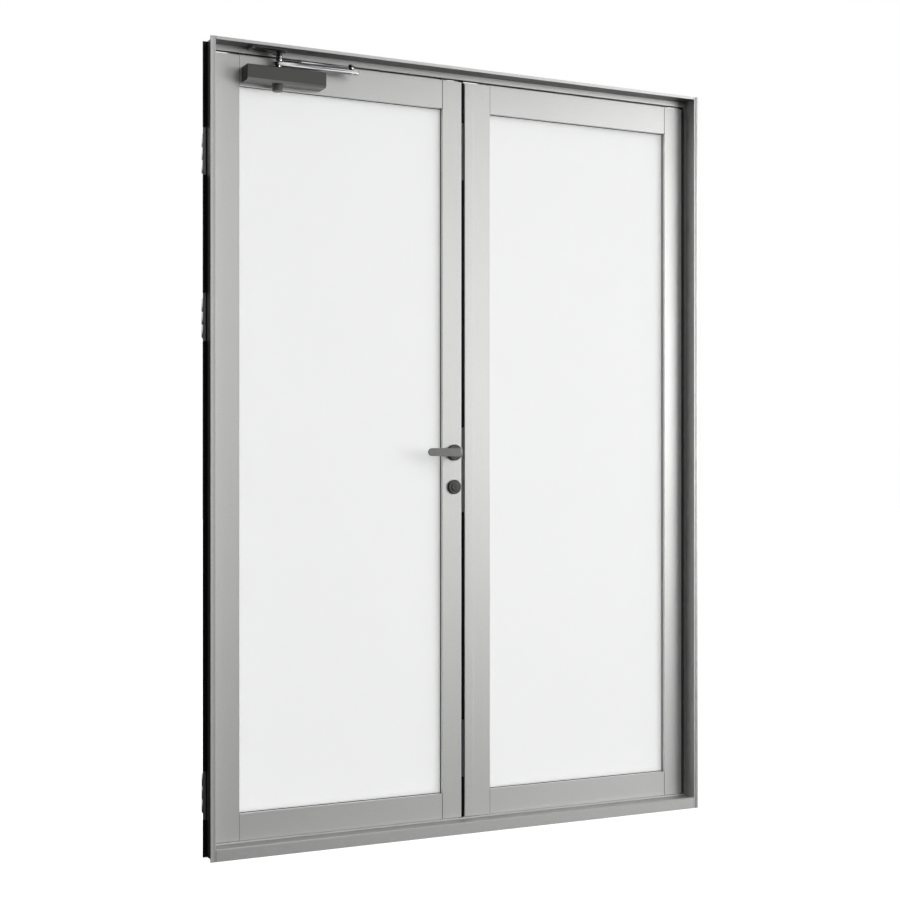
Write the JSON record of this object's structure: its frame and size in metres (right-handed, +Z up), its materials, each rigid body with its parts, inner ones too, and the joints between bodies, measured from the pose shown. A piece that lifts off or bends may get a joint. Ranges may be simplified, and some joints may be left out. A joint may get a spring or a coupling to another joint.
{
  "type": "outward opening double door",
  "caption": "Outward opening glazed aluminium double door in its frame, with side hinges, lever handles, a lock and an overhead arm closer.",
  "frame": {"origin": "centre of the sill's flat underside", "axes": "+Z up, +Y to the outside, the way the leaves swing, +X to the right seen from the room"},
  "size_m": [1.5, 0.133, 2.1],
  "materials": {
    "satin_aluminium": "satin anodised, fine grain",
    "black_rubber": "matt",
    "clear_glass": "clear",
    "hinge_steel": "satin",
    "backing_steel": "dark primer",
    "closer_grey": "fine textured dark grey paint",
    "bright_chrome": "bright plated",
    "handle_metal": "satin dark nickel"
  },
  "bodies": {
    "frame": {"left_jamb": "satin_aluminium", "right_jamb": "satin_aluminium", "head": "satin_aluminium", "sill": "satin_aluminium", "frame_seals": "black_rubber", "left_hinge_frame_halves": "hinge_steel", "right_hinge_frame_halves": "hinge_steel", "hinge_backing_plates": "backing_steel", "closer_bracket": "closer_grey", "bracket_pivot": "bright_chrome"},
    "active_leaf": {"active_hinge_stile": "satin_aluminium", "active_lock_stile": "satin_aluminium", "active_top_rail": "satin_aluminium", "active_bottom_rail": "satin_aluminium", "active_glass": "clear_glass", "active_glazing_beads": "satin_aluminium", "active_glazing_seals": "black_rubber", "active_edge_seal": "black_rubber", "active_hinge_leaf_halves": "hinge_steel", "lock_faceplate": "hinge_steel", "handle_roses": "handle_metal", "cylinder_rings": "handle_metal", "lock_cylinder": "handle_metal", "closer_body": "closer_grey", "closer_cap": "closer_grey"},
    "lever": {"lever_handles": "handle_metal"},
    "main_arm": {"closer_main_arm": "bright_chrome", "elbow_pin": "bright_chrome"},
    "forearm": {"closer_forearm": "bright_chrome"},
    "inactive_leaf": {"inactive_hinge_stile": "satin_aluminium", "inactive_meeting_stile": "satin_aluminium", "inactive_top_rail": "satin_aluminium", "inactive_bottom_rail": "satin_aluminium", "inactive_glass": "clear_glass", "inactive_glazing_beads": "satin_aluminium", "inactive_glazing_seals": "black_rubber", "inactive_edge_seal": "black_rubber", "inactive_hinge_leaf_halves": "hinge_steel", "cover_strip": "satin_aluminium", "strip_caps": "satin_aluminium", "strike_plate": "hinge_steel", "flush_bolts": "hinge_steel"}
  },
  "joints": [
    {"name": "active_leaf_hinge", "type": "hinge", "parent": "frame", "child": "active_leaf", "pos_m": [-0.7335, 0.0545, 1.05], "axis": [0, 0, 1], "range_deg": [0, 90], "stiffness_Nm_per_rad": 6, "springref_deg": -85.94},
    {"name": "inactive_leaf_hinge", "type": "hinge", "parent": "frame", "child": "inactive_leaf", "pos_m": [0.7335, 0.0545, 1.05], "axis": [0, 0, -1], "range_deg": [0, 90]},
    {"name": "lever_turn", "type": "hinge", "parent": "active_leaf", "child": "lever", "pos_m": [-0.0355, 0.0225, 1.046], "axis": [0, -1, 0], "range_deg": [0, 40], "stiffness_Nm_per_rad": 1.5, "springref_deg": -20.05},
    {"name": "main_arm_pivot", "type": "hinge", "parent": "active_leaf", "child": "main_arm", "pos_m": [-0.562, -0.024, 2.05], "axis": [0, 0, -1], "range_deg": [0, 109.5]},
    {"name": "elbow_pivot", "type": "hinge", "parent": "main_arm", "child": "forearm", "pos_m": [-0.358, -0.032, 2.06], "axis": [0, 0, 1], "range_deg": [0, 83.5]}
  ],
  "couplings": [
    {"joint": "main_arm_pivot", "follows": "active_leaf_hinge", "ratio": 1.2139},
    {"joint": "elbow_pivot", "follows": "active_leaf_hinge", "ratio": 0.92541}
  ]
}
